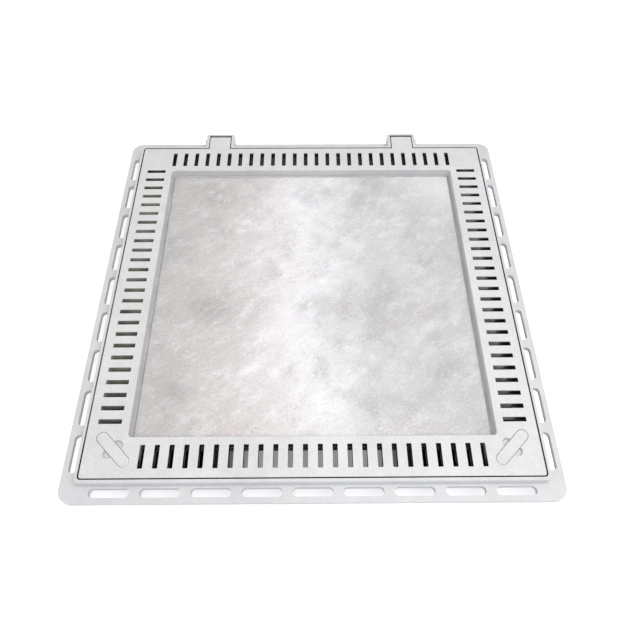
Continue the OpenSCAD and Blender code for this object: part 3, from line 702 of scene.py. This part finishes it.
# darker along the joint where ambient occlusion finds the wall near, most on the left: settled dirt and
# painted shade; a darker band along the left edge; and a pale corner at the back right
joint_dust_and_shade = use_group(tree, corner_dust_and_shade, {"Vector": coordinates, "Reach": 0.009, "Size": 0.015})["Mask"]
joint_dust_and_shade = calc(tree, "MULTIPLY", joint_dust_and_shade, between(tree, axes["X"], -0.12, 0.05, 0.5, 0.1))
colour = blend_colours(tree, joint_dust_and_shade, colour, (0.30, 0.29, 0.285))
left_shade = between(tree, axes["X"], -0.13, -0.17, 0.0, 0.10)
colour = blend_colours(tree, left_shade, colour, (0.30, 0.29, 0.285))
in_corner = between(tree, away_from(tree, coordinates, (0.175, 0.175, face_z)), 0.07, 0.01, 0.0, 0.4)
colour = blend_colours(tree, in_corner, colour, (0.86, 0.857, 0.86))
put(tree, shader.inputs["Base Color"], colour)
set_rough(tree, shader, sand["Tone"], 0.15, 0.66)
heights = calc(tree, "ADD", sand["Height"], calc(tree, "MULTIPLY", fine, 0.00020))
heights = calc(tree, "SUBTRACT", heights, calc(tree, "MULTIPLY", spots, 0.0003))
set_bump(tree, shader, heights, 0.6)

slab_low, slab_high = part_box("infill_slab")
half = slab_high.x
corner_r = 2 * MM
arris_r = 1.0 * MM
wave_depth = 0.35 * MM
dent_depth = 0.9 * MM
step = 1.8 * MM
# the face's lines are even in the middle and close together at its edge, for the arris
near_edge = [0, 0.15 * MM, 0.4 * MM, 0.7 * MM, 1.1 * MM]
count = round((half - near_edge[-1]) / step)
from_middle = [(half - near_edge[-1]) * i / count for i in range(1, count)]
from_middle += [half - d for d in reversed(near_edge)]
lines = [-d for d in reversed(from_middle)] + [0] + from_middle


def slab_point(x, y):
    """A point of the slab's face: round corners, a round arris and the trowel's waves."""
    past_x, past_y = abs(x) - (half - corner_r), abs(y) - (half - corner_r)
    if past_x > 0 and past_y > 0:
        pull = max(past_x, past_y) / math.hypot(past_x, past_y)
        x = math.copysign(half - corner_r + past_x * pull, x)
        y = math.copysign(half - corner_r + past_y * pull, y)
        edge = corner_r - max(past_x, past_y)
    else:
        edge = half - max(abs(x), abs(y))
    inwards = min(arris_r, max(0.0, arris_r - edge))
    drop = arris_r - math.sqrt(arris_r ** 2 - inwards ** 2)
    wave = 0.5 + 0.5 * noise.noise(Vector((x * 14, y * 30, 0.3)))
    ripple = 0.5 + 0.5 * noise.noise(Vector((x * 90, y * 160, 7.1)))
    drop += wave_depth * (0.75 * wave + 0.25 * ripple)
    dent = noise.noise(Vector((x * 260, y * 260, 3.3)))
    drop += max(0.0, dent - 0.45) * dent_depth
    return Vector((x, y, slab_high.z - drop))


builder = bmesh.new()
face = [[builder.verts.new(slab_point(x, y)) for x in lines] for y in lines]
for front, back in zip(face, face[1:]):
    for i in range(len(lines) - 1):
        builder.faces.new((front[i], front[i + 1], back[i + 1], back[i]))
rim = face[0][:-1] + [row[-1] for row in face[:-1]] + face[-1][:0:-1] + [row[0] for row in face[:0:-1]]
foot = [builder.verts.new((v.co.x, v.co.y, slab_low.z)) for v in rim]
for i, above in enumerate(rim):
    after = (i + 1) % len(rim)
    builder.faces.new((foot[i], foot[after], rim[after], above))
builder.faces.new(foot[::-1])
slab = add_mesh("cement_slab", builder, cement, 50)
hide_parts("infill_slab")
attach(slab, "lid")

# ---------------------------------------------------------------------------
# Joint seal: grey sealant gunned into the gap between slab and tray and pulled
# off with a wet finger, so its face is hollow and climbs a little at both sides.
# ---------------------------------------------------------------------------
sealant, tree, coordinates, shader = new_material("grey_sealant")
soft = use_group(tree, clouds, {"Vector": coordinates, "Size": 0.03})["Tone"]
grain = use_group(tree, mould_grain, {"Vector": coordinates, "Size": 0.0006, "Depth": 0.00003})
colour = blend_colours(tree, soft, (0.37, 0.37, 0.375), (0.47, 0.47, 0.47))
spots = use_group(tree, specks, {"Vector": coordinates, "Spacing": 0.003, "Size": 0.0004,
                                 "Share": 0.4})["Mask"]
colour = stain(tree, colour, spots, 0.5, (0.45, 0.44, 0.43))
put(tree, shader.inputs["Base Color"], colour)
set_rough(tree, shader, grain["Tone"], 0.15, 0.42)
set_bump(tree, shader, grain["Height"], 0.6)

seal_low, seal_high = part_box("joint_seal")
outer = seal_high.x
outer_corner = 4 * MM
inner_r = half - outer + outer_corner
climb = 0.35 * MM
bend_steps, straight_steps, section_steps = 10, 60, 8
# places all round: the corner's centre they turn about and the way they face
quadrants = ((1, 1), (-1, 1), (-1, -1), (1, -1))
around = []
for corner, (cx, cy) in enumerate(quadrants):
    nx, ny = quadrants[(corner + 1) % 4]
    around += [(cx, cy, 90 * corner + 90 * i / bend_steps) for i in range(bend_steps)]
    for share in (i / straight_steps for i in range(straight_steps)):
        around.append((cx + (nx - cx) * share, cy + (ny - cy) * share, 90 * corner + 90))
builder = bmesh.new()
verts = []
for cx, cy, angle in around:
    outwards = Vector((math.cos(math.radians(angle)), math.sin(math.radians(angle)), 0))
    centre = Vector((cx * (outer - outer_corner), cy * (outer - outer_corner), 0))
    wander = noise.noise(centre * 30 + Vector((2.2, 0, 0)))
    ring = [centre + outwards * out + Vector((0, 0, seal_low.z)) for out in (inner_r, outer_corner)]
    for share in (1 - k / section_steps for k in range(section_steps + 1)):
        sag = 4 * share * (1 - share) * (0.9 + 0.25 * wander) * MM
        height = seal_high.z + climb + 0.1 * wander * MM - sag
        ring.append(centre + outwards * (inner_r + (outer - half) * share) + Vector((0, 0, height)))
    verts.append([builder.verts.new(point) for point in ring])
for here, after in zip(verts, verts[1:] + verts[:1]):
    for i in range(len(here)):
        j = (i + 1) % len(here)
        builder.faces.new((here[i], here[j], after[j], after[i]))
bead = add_mesh("sealant_bead", builder, sealant)
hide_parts("joint_seal")
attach(bead, "lid")

# ---------------------------------------------------------------------------
# Lift handles: a polymer bar on two stems that slide in the lid's guides. A
# steel plate under the guides, held by two screws, stops it when it is up.
# ---------------------------------------------------------------------------
stem_reach = 14 * MM
for side, body, lean in (("left", "left_handle", -1), ("right", "right_handle", 1)):
    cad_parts["handle_" + side].material_slots[0].material = lid_polymer
    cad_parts["stop_plate_" + side].material_slots[0].material = screw_steel
    low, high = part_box("stop_plate_" + side)
    middle = (low + high) / 2
    reach = stem_reach * math.cos(math.radians(45))
    seats = [(middle.x + end * reach, middle.y + lean * end * reach, low.z) for end in (-1, 1)]
    screws = pan_screws("stop_screws_of_" + side, seats, shank_r=1.5 * MM, length=10 * MM, head_r=2.85 * MM,
                        head_t=1.5 * MM)
    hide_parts("stop_screws_" + side)
    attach(screws, body)

# ---------------------------------------------------------------------------
# The box round everything shown; the parts' box was taken at the start.
# ---------------------------------------------------------------------------
low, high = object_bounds()
